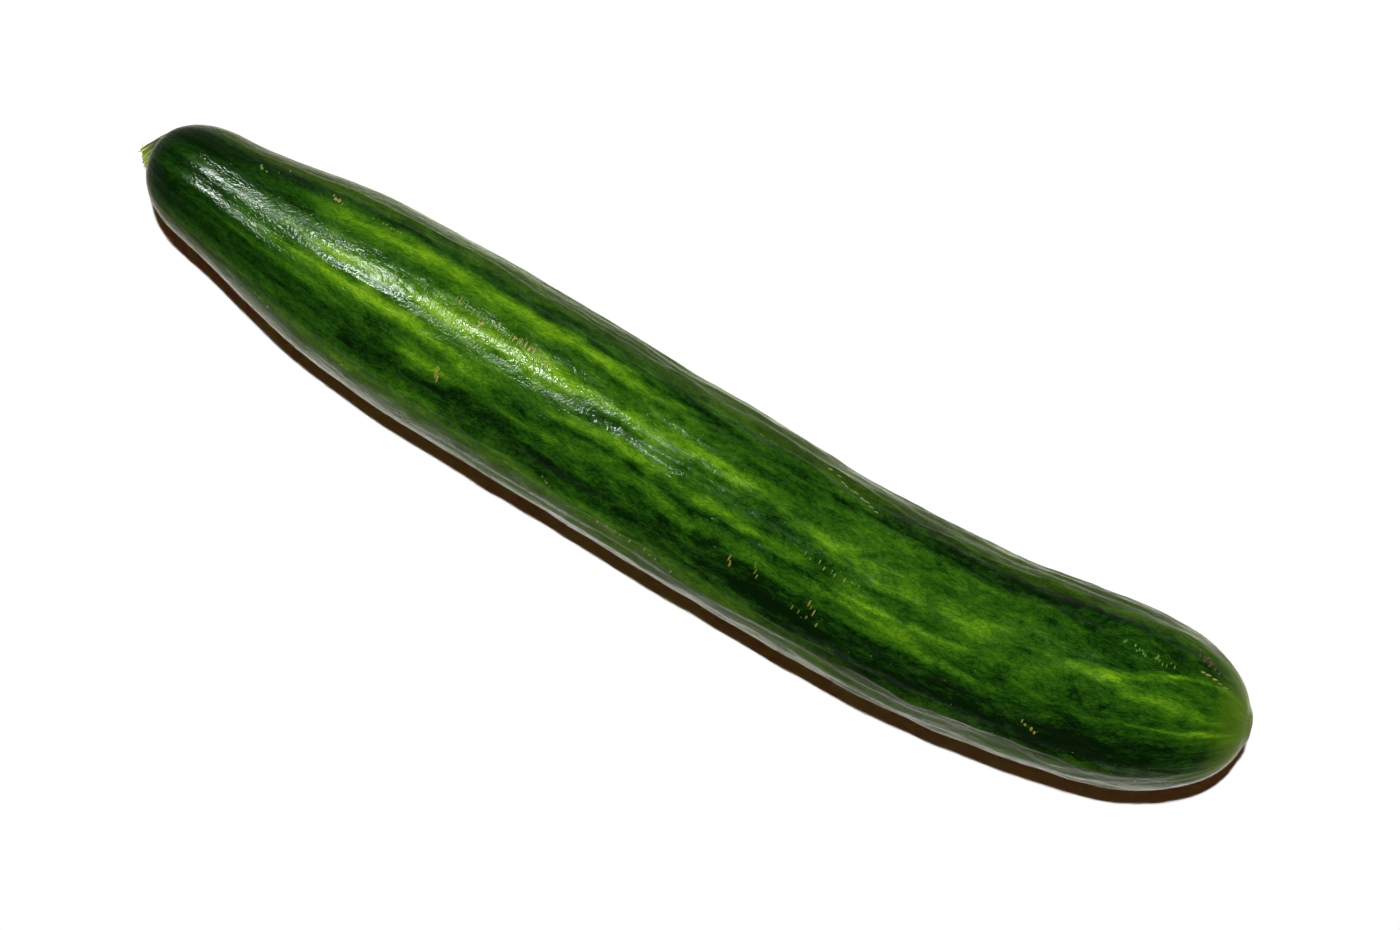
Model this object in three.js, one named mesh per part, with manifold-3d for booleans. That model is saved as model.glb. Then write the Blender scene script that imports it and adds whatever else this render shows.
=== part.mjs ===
// A long greenhouse cucumber with the stub of its stalk, lying on its side as picked.
// Millimetres, +Z up. +X runs from the stalk end to the blossom end, and the origin is under the
// middle of the whole object, on the surface that the fruit rests on.
import * as THREE from 'three';
import { mergeVertices } from 'three/addons/utils/BufferGeometryUtils.js';
import Module from 'manifold-3d';

// Fruit: distances along it are measured from the stalk end, and angles round it from the top,
// positive towards +Y.
const FRUIT_SPAN = 298.8;
const BODY_RADIUS = 23.8;
const NECK_RADIUS = 13.7;
const NECK_WIDENS_FROM = 4;
const NECK_WIDENS_TO = 72;
const TAPER = 0.9;
const TAPER_FROM = 208;
const TAPER_TO = 278;
const STALK_DOME = { length: 15, fullness: 2.4 };
const BLOSSOM_DOME = { length: 37, fullness: 2.15 };

// Centre line: the neck leans one way and the blossom end bends the same way in the plan, both
// ends lift clear of the surface, and the last of the neck hooks down to the stalk.
const LEAN = -0.037;
const NECK_BEND = { to: 57, radius: 640 };
const BLOSSOM_BEND = { from: 182, radius: 340 };
const NECK_LIFT = { to: 77, radius: 640 };
const BLOSSOM_LIFT = { from: 237, radius: 640 };
const HOOK = { length: 17, drop: 5.5 };

// The belly is pressed flat where it rests.
const FLAT_DEPTH = 0.35;

// Low swells and dents of the outline: place along and round the fruit, reach both ways, height.
const SWELLS = [
  { along: 38, around: 90, length: 12, spread: 35, height: 0.5 },
  { along: 69, around: 90, length: 12, spread: 40, height: -0.9 },
  { along: 158, around: 90, length: 16, spread: 40, height: 0.3 },
  { along: 64, around: -90, length: 10, spread: 40, height: -0.6 },
  { along: 158, around: -90, length: 14, spread: 40, height: 0.3 },
  { along: 188, around: -90, length: 18, spread: 40, height: -0.4 },
  { along: 253, around: -90, length: 12, spread: 40, height: 0.3 },
];

// Relief of the skin: three rounded sides, narrow ribs and low lumps.
const LOBE = { count: 3, turn: 20, height: 0.3 };
const RIB = { count: 24, height: 0.32, drift: 1.4, driftLength: 46 };
const RIB_FADES = { neckFrom: 6, neckTo: 34, blossomFrom: 240, blossomTo: 296, bellyFrom: 12, bellyTo: 34 };
const LUMP = { height: 0.28, pitch: 46, around: 4, from: 70, to: 150 };

// Blossom scar: a low round boss on the end.
const SCAR = { radius: 4, rise: 0.4 };

// Stalk stub: its middle line is given from the fruit's stalk end.
const STALK_RADIUS = 2.35;
const STALK_FLARE = 0.8;
const STALK_RIB = { count: 5, height: 0.22 };
const STALK_ROOT = new THREE.Vector3(1.5, 2.7, 1.6);
const STALK_BEND = new THREE.Vector3(-1.4, 0.8, -1.2);
const STALK_TIP = new THREE.Vector3(-3.8, -3.6, -2.4);
const STALK_CUT = { slant: 0.4, ragged: 0.25 };
const GAP = 0.3;

const MESH = { around: 96, along: 50, stalkSides: 30, stalkRings: 8 };

const radians = THREE.MathUtils.degToRad;
const ramp = THREE.MathUtils.smoothstep;
const wasm = await Module();
wasm.setup();

// Leaves only the positions, with shared corners merged, so that the mesh is one closed surface.
function closed(geometry) {
  geometry.deleteAttribute('normal');
  geometry.deleteAttribute('uv');
  return mergeVertices(geometry);
}

// Middle of the fruit at a distance along it.
function centre(along) {
  const toNeck = Math.max(0, NECK_BEND.to - along);
  const toBlossom = Math.max(0, along - BLOSSOM_BEND.from);
  const neckRise = Math.max(0, NECK_LIFT.to - along);
  const blossomRise = Math.max(0, along - BLOSSOM_LIFT.from);
  const hook = Math.max(0, 1 - along / HOOK.length);
  return new THREE.Vector3(
    along,
    LEAN * along + toNeck ** 2 / (2 * NECK_BEND.radius) + toBlossom ** 2 / (2 * BLOSSOM_BEND.radius),
    BODY_RADIUS - FLAT_DEPTH + neckRise ** 2 / (2 * NECK_LIFT.radius)
      + blossomRise ** 2 / (2 * BLOSSOM_LIFT.radius) - HOOK.drop * hook ** 2,
  );
}

// Share of the full radius left in the rounded end, at a distance from its pole.
function dome(fromPole, { length, fullness }) {
  const out = THREE.MathUtils.clamp(1 - fromPole / length, 0, 1);
  return (1 - out ** fullness) ** (1 / fullness);
}

// Height of the swells, lobes, ribs and lumps over the round section.
function relief(along, around) {
  let height = LOBE.height * Math.cos(LOBE.count * (around - radians(LOBE.turn)));
  for (const swell of SWELLS) {
    const turned = around - radians(swell.around);
    const angle = Math.atan2(Math.sin(turned), Math.cos(turned)) / radians(swell.spread);
    height += swell.height * Math.exp(-(((along - swell.along) / swell.length) ** 2) - angle ** 2);
  }
  const fromBelly = THREE.MathUtils.radToDeg(Math.PI - Math.abs(around));
  const ribShown = ramp(along, RIB_FADES.neckFrom, RIB_FADES.neckTo)
    * (1 - ramp(along, RIB_FADES.blossomFrom, RIB_FADES.blossomTo))
    * ramp(fromBelly, RIB_FADES.bellyFrom, RIB_FADES.bellyTo);
  const ribStrength = 0.7 + 0.3 * Math.sin(2 * around + along / RIB.driftLength);
  const ribAngle = RIB.count * around + RIB.drift * Math.sin(along / RIB.driftLength);
  height += RIB.height * ribShown * ribStrength * Math.cos(ribAngle);
  const lumpShown = ramp(along, LUMP.from, LUMP.to) * ramp(fromBelly, RIB_FADES.bellyFrom, RIB_FADES.bellyTo);
  const lumpWave = Math.sin(2 * Math.PI * along / LUMP.pitch + 2 * Math.sin(3 * around));
  height += LUMP.height * lumpShown * lumpWave * Math.cos(LUMP.around * around + 1);
  return height;
}

// A point of the skin.
function skinPoint(along, around) {
  const step = 0.05;
  const ahead = centre(along + step).sub(centre(along - step)).normalize();
  const side = new THREE.Vector3(-ahead.y, ahead.x, 0).normalize();
  const up = new THREE.Vector3().crossVectors(ahead, side);
  const fullRadius = NECK_RADIUS + (BODY_RADIUS - NECK_RADIUS) * ramp(along, NECK_WIDENS_FROM, NECK_WIDENS_TO)
    - TAPER * ramp(along, TAPER_FROM, TAPER_TO);
  const ends = dome(along, STALK_DOME) * dome(FRUIT_SPAN - along, BLOSSOM_DOME);
  const radius = (fullRadius + relief(along, around)) * ends;
  const point = centre(along);
  point.addScaledVector(up, radius * Math.cos(around));
  point.addScaledVector(side, radius * Math.sin(around));
  if (along > FRUIT_SPAN / 2 && radius < SCAR.radius) point.addScaledVector(ahead, SCAR.rise);
  return point;
}

// The fruit is a sphere's mesh whose poles become the two ends.
function fruitGeometry() {
  const geometry = closed(new THREE.SphereGeometry(1, MESH.around, MESH.along));
  const position = geometry.attributes.position;
  for (let i = 0; i < position.count; i += 1) {
    const along = FRUIT_SPAN * (1 - position.getY(i)) / 2;
    const point = skinPoint(along, Math.atan2(-position.getZ(i), position.getX(i)));
    position.setXYZ(i, point.x, point.y, Math.max(point.z, 0));
  }
  return geometry;
}

// The fruit's surface moved outwards by the gap that the stalk keeps from it.
function grownFruitGeometry() {
  const geometry = fruitGeometry();
  geometry.computeVertexNormals();
  const { position, normal } = geometry.attributes;
  for (let i = 0; i < position.count; i += 1) {
    const point = new THREE.Vector3().fromBufferAttribute(position, i);
    point.addScaledVector(new THREE.Vector3().fromBufferAttribute(normal, i), GAP);
    position.setXYZ(i, point.x, point.y, point.z);
  }
  return geometry;
}

// The stalk is a cylinder's mesh laid along its bend: ribbed, flared at the root, and torn off at a slant.
function rawStalkGeometry() {
  const pole = centre(0);
  const line = new THREE.QuadraticBezierCurve3(
    STALK_ROOT.clone().add(pole),
    STALK_BEND.clone().add(pole),
    STALK_TIP.clone().add(pole),
  );
  const geometry = closed(new THREE.CylinderGeometry(1, 1, 1, MESH.stalkSides, MESH.stalkRings));
  const position = geometry.attributes.position;
  for (let i = 0; i < position.count; i += 1) {
    const outwards = Math.hypot(position.getX(i), position.getZ(i));
    const angle = Math.atan2(position.getZ(i), position.getX(i));
    const share = THREE.MathUtils.clamp(position.getY(i) + 0.5, 0, 1);
    const ahead = line.getTangent(share);
    const across = new THREE.Vector3(-ahead.y, ahead.x, 0).normalize();
    const up = new THREE.Vector3().crossVectors(ahead, across);
    const radius = outwards * (STALK_RADIUS + STALK_FLARE * (1 - share) ** 2
      + STALK_RIB.height * Math.cos(STALK_RIB.count * angle));
    const torn = share * outwards * (STALK_CUT.slant * Math.sin(angle) + STALK_CUT.ragged * Math.sin(3 * angle));
    const point = line.getPoint(share);
    point.addScaledVector(up, radius * Math.cos(angle));
    point.addScaledVector(across, radius * Math.sin(angle));
    point.addScaledVector(ahead, torn);
    position.setXYZ(i, point.x, point.y, point.z);
  }
  return geometry;
}

function solidOf(geometry) {
  const mesh = new wasm.Mesh({
    numProp: 3,
    vertProperties: geometry.attributes.position.array,
    triVerts: new Uint32Array(geometry.index.array),
  });
  return new wasm.Manifold(mesh);
}

// The stalk starts at the gap outside the fruit's surface.
function stalkGeometry() {
  const { vertProperties, triVerts } = solidOf(rawStalkGeometry()).subtract(solidOf(grownFruitGeometry())).getMesh();
  const geometry = new THREE.BufferGeometry();
  geometry.setAttribute('position', new THREE.BufferAttribute(vertProperties, 3));
  geometry.setIndex(new THREE.BufferAttribute(triVerts, 1));
  return geometry;
}

const skin = new THREE.MeshStandardMaterial({ color: '#24580f', roughness: 0.35, metalness: 0 });
const greenStalk = new THREE.MeshStandardMaterial({ color: '#7d8f2c', roughness: 0.65, metalness: 0 });

const fruit = new THREE.Mesh(fruitGeometry(), skin);
fruit.name = 'fruit';
const stalk = new THREE.Mesh(stalkGeometry(), greenStalk);
stalk.name = 'stalk';

const cucumber = new THREE.Group();
cucumber.add(fruit, stalk);
const middle = new THREE.Box3().setFromObject(cucumber).getCenter(new THREE.Vector3());
cucumber.position.set(-middle.x, -middle.y, 0);

export default cucumber;
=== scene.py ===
# A long greenhouse cucumber with the stub of its stalk, lying on a white table.
import math

import bpy
from mathutils import Matrix, Vector, noise


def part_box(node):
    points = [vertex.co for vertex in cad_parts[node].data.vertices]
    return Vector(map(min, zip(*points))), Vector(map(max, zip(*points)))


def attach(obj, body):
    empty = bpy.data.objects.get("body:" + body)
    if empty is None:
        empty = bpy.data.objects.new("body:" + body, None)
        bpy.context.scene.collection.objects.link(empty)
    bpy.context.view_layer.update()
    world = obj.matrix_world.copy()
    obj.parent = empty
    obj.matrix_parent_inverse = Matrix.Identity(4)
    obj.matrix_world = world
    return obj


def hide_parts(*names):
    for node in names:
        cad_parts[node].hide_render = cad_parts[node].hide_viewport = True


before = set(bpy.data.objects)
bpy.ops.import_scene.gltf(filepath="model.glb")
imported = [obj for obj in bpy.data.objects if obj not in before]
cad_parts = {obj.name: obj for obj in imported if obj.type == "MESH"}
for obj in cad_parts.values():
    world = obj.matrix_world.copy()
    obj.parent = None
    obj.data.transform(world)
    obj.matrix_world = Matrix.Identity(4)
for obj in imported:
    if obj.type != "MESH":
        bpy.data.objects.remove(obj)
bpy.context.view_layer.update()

# Fruit: the whole grown cucumber, firm pale flesh under a thin dark green skin with a waxy cuticle.
# It grew longer than wide, so its ribs, swells and streaks all run from the stalk to the blossom
# scar. It lies on the small flat that its weight presses into the belly.
MM = 0.001
FRUIT_SPAN = 298.8
BODY_RADIUS = 23.8
NECK_RADIUS = 13.7
NECK_WIDENS = (4, 72)
TAPER = 0.9
TAPER_STRETCH = (208, 278)
STALK_DOME = {"length": 15, "fullness": 2.4}
BLOSSOM_DOME = {"length": 37, "fullness": 2.15}
LEAN = -0.037
FLAT_DEPTH = 0.35
HOOK_LENGTH = 17
HOOK_DROP = 5.5
HOOK_RADIUS = HOOK_LENGTH ** 2 / (2 * HOOK_DROP)

# Bends of the centre line: which way, from where along the fruit, towards which end, radius.
BENDS = (
    ("side", 57, -1, 640),
    ("side", 182, 1, 340),
    ("up", 77, -1, 640),
    ("up", 237, 1, 640),
    ("up", HOOK_LENGTH, -1, -HOOK_RADIUS),
)

# Low swells and dents: along the fruit, degrees round it from the top, reach both ways, height.
SWELLS = (
    (38, 90, 12, 35, 0.5),
    (69, 90, 12, 40, -0.9),
    (158, 90, 16, 40, 0.3),
    (64, -90, 10, 40, -0.6),
    (158, -90, 14, 40, 0.3),
    (188, -90, 18, 40, -0.4),
    (253, -90, 12, 40, 0.3),
)
LOBE_COUNT = 3
LOBE_TURN = 20
LOBE_HEIGHT = 0.3
RIB_COUNT = 24
RIB_HEIGHT = 0.2
CREST_BREADTH = 0.25
RIB_DRIFT = 1.4
RIB_DRIFT_LENGTH = 46
RIB_NECK_FADE = (45, 140)
RIB_BLOSSOM_FADE = (240, 296)
BELLY_FADE = (12, 34)
RIB_COMES = (-0.15, 0.15)
RIB_SHARES = (0.3, 1.15)
LUMP_HEIGHT = 0.28
LUMP_PITCH = 46
LUMP_COUNT = 4
LUMP_TURN = 1
LUMP_RIPPLES = 3
LUMP_RIPPLE_REACH = 2
LUMP_STRETCH = (70, 150)
DENT_STRETCH = (20, 170)
DENT_NECK_SHARE = 0.35
DENT_FLANK = (40, 62)
DENT_FLANK_SHARE = 1.5
SCAR_RADIUS = 4
SCAR_EDGE = 2
SCAR_RISE = 0.4

# Uneven growth: waves to a millimetre along and across, shift of the seed, detail, and reach. The
# reach is a phase for the rib place, a share for the next two and degrees for the vein sway.
UNEVENNESS = {
    "rib place": ((0.02, 0.09, 0.09), 0, 1, 2.6),
    "rib strength": ((0.016, 0.1, 0.1), 7, 1, 1),
    "dents": ((0.07, 0.17, 0.17), 3, 2, 4),
    "vein sway": ((0.09, 0.05, 0.05), 11, 1.5, 14),
}

# Raised veins of the flanks and crests of the neck: along, round, half length, half width, slant
# in degrees a millimetre, height.
VEINS = (
    (70, 60, 50, 2.2, 0, 0.4),
    (220, 57, 36, 2.0, 0, 0.4),
    (178, 48, 14, 1.5, -0.36, 0.5),
    (187, 61, 24, 1.7, -0.12, 0.4),
    (67, 50, 18, 1.8, 0.1, 0.35),
    (126, 66, 26, 2.0, 0.05, 0.35),
    (70, -45, 45, 2.2, 0, 0.4),
    (136, -52, 30, 1.8, -0.08, 0.4),
    (185, -49, 24, 1.8, 0.1, 0.35),
    (234, -54, 36, 2.0, -0.05, 0.4),
    (18, 8, 11, 4.8, 0, 0.22),
    (23, -12, 18, 5, -0.15, 0.42),
    (62, 12, 19, 3.2, 0, 0.18),
    (58, 1, 15, 3, -0.02, 0.26),
    (103, 12, 16, 5, 0, 0.2),
)
SKIN_ROWS = 300
SKIN_COLUMNS = 320
STREAK_WAVES = (0.05, 0.25, 0.25)
STREAK_SWAY = 16

# Pale streaks of the upper side: along, round, half length, half width, slant in degrees a
# millimetre, strength. The rest of the skin gets its streaks from noise.
PALE_STREAKS = (
    (70, 32, 46, 15, 0, 0.32),
    (82, 36, 52, 4, 0, 0.65),
    (118.3, 35, 22, 3.5, 0, 0.35),
    (75.1, 10, 42, 6, 0, 1.1),
    (121.2, 15, 20, 5, 0, 0.8),
    (153.7, 17, 13, 4.5, 0, 0.7),
    (189, 12, 11, 3.5, 0, 0.65),
    (206.7, 9, 7, 5, 0, 0.6),
    (224.4, 9, 8, 6, -0.15, 0.6),
    (61.3, -5, 38, 4.2, 0, 1.0),
    (130.1, -3, 16, 3.5, 0.05, 0.85),
    (158.6, -4, 11, 4.5, -0.05, 0.7),
    (176.2, -5, 9, 3.5, 0, 0.5),
    (41.7, -18, 18, 3, 0, 0.5),
    (83, -19, 9, 3, 0, 0.65),
    (93.8, -12, 6, 4, 0, 0.6),
    (111.4, -20, 12, 4, 0, 0.3),
    (209.6, -8, 20, 1.8, 0, 0.6),
    (202.8, -16, 16, 2.5, -0.05, 0.55),
    (160.5, -18, 22, 5, 0, 0.35),
    (226.3, -21, 14, 2.5, -0.1, 0.5),
    (82, -52, 60, 5, 0, 0.4),
    (145.8, -57, 40, 4, 0, 0.25),
    (69.2, 70, 33, 5, 0, 0.35),
    (208.6, 30, 20, 4, -0.1, 0.3),
    (258.2, 10, 8, 5, 0.3, 0.7),
    (278.2, 23, 17, 2.5, 0.75, 0.8),
    (276.2, 3, 12, 6, -0.2, 0.6),
    (282.2, -14, 16, 2, 0.12, 0.75),
)

# Deep green stretches, in the same terms.
DEEP_STRETCHES = (
    (219.4, -39, 45, 14, 0, 1.0),
    (269.2, -37, 24, 17, 0, 0.9),
    (243, 43, 50, 12, 0, 0.45),
    (58, 24, 36, 2.6, 0, 0.5),
    (145.8, -36, 55, 10, 0, 0.7),
    (67.2, -31, 45, 8, 0, 0.65),
    (124.2, -10, 14, 1.5, 0, 0.4),
    (160.5, -10, 38, 1.6, 0, 0.7),
    (170.3, -26, 60, 2.5, 0, 0.5),
    (170.3, 42, 75, 1.8, 0, 0.55),
    (165.4, 30, 60, 2, 0, 0.35),
    (145.8, 56, 110, 12, 0, 0.2),
    (57.4, 47, 40, 4, 0, 0.3),
    (249.2, 49, 32, 8, 0, 0.6),
    (274.2, 33, 10, 5, 0.5, 0.5),
    (10.3, 50, 24, 20, 0, 0.25),
    (-2, 0, 15, 400, 0, 0.45),
    (-2, 0, 33, 400, 0, 0.35),
    (15, -30, 30, 28, 0, 0.4),
    (15, 32, 26, 14, 0, 0.5),
)

# Patches where the bloom is rubbed off, so that glints show, in the same terms.
RUBBED_PATCHES = (
    (20, 12, 9, 9, 0, 1.0),
    (23, -4, 13, 7, 0, 1.0),
    (55, 16, 11, 6, 0, 0.9),
    (60, 5, 12, 5, 0, 0.7),
    (102, 13, 16, 9, 0, 1.0),
    (134, 8, 13, 9, 0, 0.5),
)

COMBINE = "ShaderNodeCombineXYZ"
SEPARATE = "ShaderNodeSeparateXYZ"
MATH = "ShaderNodeMath"
VECTOR_MATH = "ShaderNodeVectorMath"
MAP_RANGE = "ShaderNodeMapRange"
NOISE = "ShaderNodeTexNoise"
ATTRIBUTE = "ShaderNodeAttribute"
SMOOTH = {"interpolation_type": "SMOOTHSTEP"}


def colour(code):
    """sRGB hex to the linear colour that a shader takes."""
    shares = (int(code[i:i + 2], 16) / 255 for i in (1, 3, 5))
    return (*(s / 12.92 if s <= 0.04045 else ((s + 0.055) / 1.055) ** 2.4 for s in shares), 1.0)


def node(tree, kind, *given, at=None, stops=(), **settings):
    """Adds a node with its settings. Values go to its sockets in order, or by index or name in at.

    Stops are a colour ramp's places and their sRGB colours.
    """
    added = tree.nodes.new(kind)
    for name, value in settings.items():
        setattr(added, name, value)
    wanted = dict(enumerate(given))
    wanted.update(at or {})
    for key, value in wanted.items():
        if isinstance(value, bpy.types.Node):
            value = value.outputs[0]
        if isinstance(value, bpy.types.NodeSocket):
            tree.links.new(value, added.inputs[key])
        elif value is not None:
            added.inputs[key].default_value = value
    if stops:
        elements = added.color_ramp.elements
        while len(elements) < len(stops):
            elements.new(0.5)
        for element, (place, code) in zip(elements, stops):
            element.position = place
            element.color = colour(code)
    return added


def new_tree(name, takes, gives=(("Geometry", "Geometry"),)):
    """Starts a geometry tree and returns it with its input sockets and its output node."""
    tree = bpy.data.node_groups.new(name, "GeometryNodeTree")
    for label, kind in takes:
        tree.interface.new_socket(label, in_out="INPUT", socket_type="NodeSocket" + kind)
    for label, kind in gives:
        tree.interface.new_socket(label, in_out="OUTPUT", socket_type="NodeSocket" + kind)
    return tree, tree.nodes.new("NodeGroupInput").outputs, tree.nodes.new("NodeGroupOutput")


def end_tree(tree, shape, finish, out):
    """Ends a geometry tree: all of it made real, with smooth shading and its material."""
    shape = node(tree, "GeometryNodeRealizeInstances", shape)
    shape = node(tree, "GeometryNodeSetShadeSmooth", shape)
    shape = node(tree, "GeometryNodeSetMaterial", shape, None, finish)
    tree.links.new(shape.outputs[0], out.inputs[0])


def patches(tree, along, around, stretches):
    """Long patches on the skin, added up. Each is even along its length and fades off across it."""
    total = 0
    for middle, turn, length, width, slant, strength in stretches:
        off = node(tree, MATH, along, middle, operation="SUBTRACT")
        drift = node(tree, MATH, off, slant, turn, operation="MULTIPLY_ADD")
        aside = node(tree, MATH, around, drift, operation="SUBTRACT")
        aside = node(tree, MATH, aside, 180, -180, operation="WRAP")
        far = node(tree, MATH, off, length, operation="DIVIDE")
        far = node(tree, MATH, far, 4, operation="POWER")
        wide = node(tree, MATH, aside, width, operation="DIVIDE")
        wide = node(tree, MATH, wide, 2, operation="POWER")
        falls = node(tree, MATH, far, wide, operation="ADD")
        falls = node(tree, MATH, falls, -1, operation="MULTIPLY")
        left = node(tree, MATH, math.e, falls, operation="POWER")
        total = node(tree, MATH, left, strength, total, operation="MULTIPLY_ADD")
    return total


SIZES = {
    "Span": FRUIT_SPAN,
    "Body radius": BODY_RADIUS,
    "Neck radius": NECK_RADIUS,
    "Rib height": RIB_HEIGHT,
    "Lump height": LUMP_HEIGHT,
    "Seed": 4.0,
}
SIZE_INPUTS = tuple((name, "Float") for name in SIZES)
form, at_place, form_out = new_tree(
    "Cucumber surface",
    (("Along", "Float"), ("Around", "Float"), *SIZE_INPUTS),
    (("Position", "Vector"), ("Outward", "Vector"), ("Ahead", "Vector"), ("Straight", "Vector")),
)
along = at_place["Along"]
around = at_place["Around"]
leaning = node(form, MATH, along, LEAN, operation="MULTIPLY")
offsets = {"side": leaning, "up": BODY_RADIUS - FLAT_DEPTH}
slopes = {"side": LEAN, "up": 0}
for axis, start, towards, bend in BENDS:
    past = node(form, MATH, along, towards, -towards * start, operation="MULTIPLY_ADD")
    past = node(form, MATH, past, 0, operation="MAXIMUM")
    squared = node(form, MATH, past, past, operation="MULTIPLY")
    offsets[axis] = node(form, MATH, squared, 0.5 / bend, offsets[axis], operation="MULTIPLY_ADD")
    slopes[axis] = node(form, MATH, past, towards / bend, slopes[axis], operation="MULTIPLY_ADD")
middle_line = node(form, COMBINE, along, offsets["side"], offsets["up"])
ahead = node(form, COMBINE, 1, slopes["side"], slopes["up"])
ahead = node(form, VECTOR_MATH, ahead, operation="NORMALIZE")
leftward = node(form, MATH, slopes["side"], -1, operation="MULTIPLY")
across = node(form, COMBINE, leftward, 1, 0)
across = node(form, VECTOR_MATH, across, operation="NORMALIZE")
upward = node(form, VECTOR_MATH, ahead, across, operation="CROSS_PRODUCT")
angle = node(form, MATH, around, operation="RADIANS")
sine = node(form, MATH, angle, operation="SINE")
cosine = node(form, MATH, angle, operation="COSINE")
out_up = node(form, VECTOR_MATH, upward, at={3: cosine}, operation="SCALE")
out_aside = node(form, VECTOR_MATH, across, at={3: sine}, operation="SCALE")
outward = node(form, VECTOR_MATH, out_up, out_aside, operation="ADD")

# The skin as if the fruit were straight and all one thickness, for patterns that follow it.
straight_side = node(form, MATH, sine, BODY_RADIUS, operation="MULTIPLY")
straight_up = node(form, MATH, cosine, BODY_RADIUS, operation="MULTIPLY")
straight = node(form, COMBINE, along, straight_side, straight_up)

# Full radius: the neck widens into the body and the body tapers a little to the blossom end.
radius = node(form, MAP_RANGE, along, *NECK_WIDENS, at_place["Neck radius"],
              at_place["Body radius"], **SMOOTH)
taper = node(form, MAP_RANGE, along, *TAPER_STRETCH, 0, TAPER, **SMOOTH)
radius = node(form, MATH, radius, taper, operation="SUBTRACT")
lobe_start = -LOBE_COUNT * math.radians(LOBE_TURN)
lobes = node(form, MATH, angle, LOBE_COUNT, lobe_start, operation="MULTIPLY_ADD")
lobes = node(form, MATH, lobes, operation="COSINE")
radius = node(form, MATH, lobes, LOBE_HEIGHT, radius, operation="MULTIPLY_ADD")
for middle, turn, length, spread, height in SWELLS:
    off = node(form, MATH, along, middle, operation="SUBTRACT")
    off = node(form, MATH, off, length, operation="DIVIDE")
    aside = node(form, MATH, around, turn, operation="SUBTRACT")
    aside = node(form, MATH, aside, 180, -180, operation="WRAP")
    aside = node(form, MATH, aside, spread, operation="DIVIDE")
    falls = node(form, MATH, aside, aside, operation="MULTIPLY")
    falls = node(form, MATH, off, off, falls, operation="MULTIPLY_ADD")
    falls = node(form, MATH, falls, -1, operation="MULTIPLY")
    left = node(form, MATH, math.e, falls, operation="POWER")
    radius = node(form, MATH, left, height, radius, operation="MULTIPLY_ADD")

# Uneven growth that loosens the rule.
uneven = {}
for name, (waves, seed_shift, detail, reach) in UNEVENNESS.items():
    place = node(form, VECTOR_MATH, straight, waves, operation="MULTIPLY")
    seed = node(form, MATH, at_place["Seed"], seed_shift, operation="ADD")
    field = node(form, NOISE, place, seed, 1, detail, 0.5, noise_dimensions="4D")
    uneven[name] = node(form, MATH, field, reach, -reach / 2, operation="MULTIPLY_ADD")

# Ribs: they wander a little, come and go along the fruit, and are pressed smooth on the belly.
turn_size = node(form, MATH, around, operation="ABSOLUTE")
from_belly = node(form, MATH, 180, turn_size, operation="SUBTRACT")
off_belly = node(form, MAP_RANGE, from_belly, *BELLY_FADE, 0, 1, **SMOOTH)
drift = node(form, MATH, along, RIB_DRIFT_LENGTH, operation="DIVIDE")
drift = node(form, MATH, drift, operation="SINE")
rib_phase = node(form, MATH, drift, RIB_DRIFT, uneven["rib place"], operation="MULTIPLY_ADD")
rib_phase = node(form, MATH, angle, RIB_COUNT, rib_phase, operation="MULTIPLY_ADD")
rib_wave = node(form, MATH, rib_phase, operation="COSINE")
crest = node(form, MATH, rib_phase, 2, operation="MULTIPLY")
crest = node(form, MATH, crest, operation="COSINE")
rib_wave = node(form, MATH, crest, -CREST_BREADTH, rib_wave, operation="MULTIPLY_ADD")
rib_shown = node(form, MAP_RANGE, uneven["rib strength"], *RIB_COMES, *RIB_SHARES, **SMOOTH)
for stretch, low, high in ((RIB_NECK_FADE, 0, 1), (RIB_BLOSSOM_FADE, 1, 0)):
    fade = node(form, MAP_RANGE, along, *stretch, low, high, **SMOOTH)
    rib_shown = node(form, MATH, rib_shown, fade, operation="MULTIPLY")
rib_shown = node(form, MATH, rib_shown, off_belly, operation="MULTIPLY")
rib_relief = node(form, MATH, rib_wave, rib_shown, operation="MULTIPLY")
radius = node(form, MATH, rib_relief, at_place["Rib height"], radius, operation="MULTIPLY_ADD")

# Lumps: long low waves that grow stronger past the neck, with smaller dents among them.
ripple = node(form, MATH, angle, LUMP_RIPPLES, operation="MULTIPLY")
ripple = node(form, MATH, ripple, operation="SINE")
lump_phase = node(form, MATH, along, 2 * math.pi / LUMP_PITCH, operation="MULTIPLY")
lump_phase = node(form, MATH, ripple, LUMP_RIPPLE_REACH, lump_phase, operation="MULTIPLY_ADD")
lump_wave = node(form, MATH, lump_phase, operation="SINE")
lump = node(form, MATH, angle, LUMP_COUNT, LUMP_TURN, operation="MULTIPLY_ADD")
lump = node(form, MATH, lump, operation="COSINE")
lump = node(form, MATH, lump_wave, lump, operation="MULTIPLY")
lump_fade = node(form, MAP_RANGE, along, *LUMP_STRETCH, 0, 1, **SMOOTH)
lump = node(form, MATH, lump, lump_fade, operation="MULTIPLY")
dent_fade = node(form, MAP_RANGE, along, *DENT_STRETCH, DENT_NECK_SHARE, 1, **SMOOTH)
flank_share = node(form, MAP_RANGE, turn_size, *DENT_FLANK, 1, DENT_FLANK_SHARE, **SMOOTH)
dent_fade = node(form, MATH, dent_fade, flank_share, operation="MULTIPLY")
lump = node(form, MATH, uneven["dents"], dent_fade, lump, operation="MULTIPLY_ADD")
lump = node(form, MATH, lump, off_belly, operation="MULTIPLY")
radius = node(form, MATH, lump, at_place["Lump height"], radius, operation="MULTIPLY_ADD")

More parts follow.
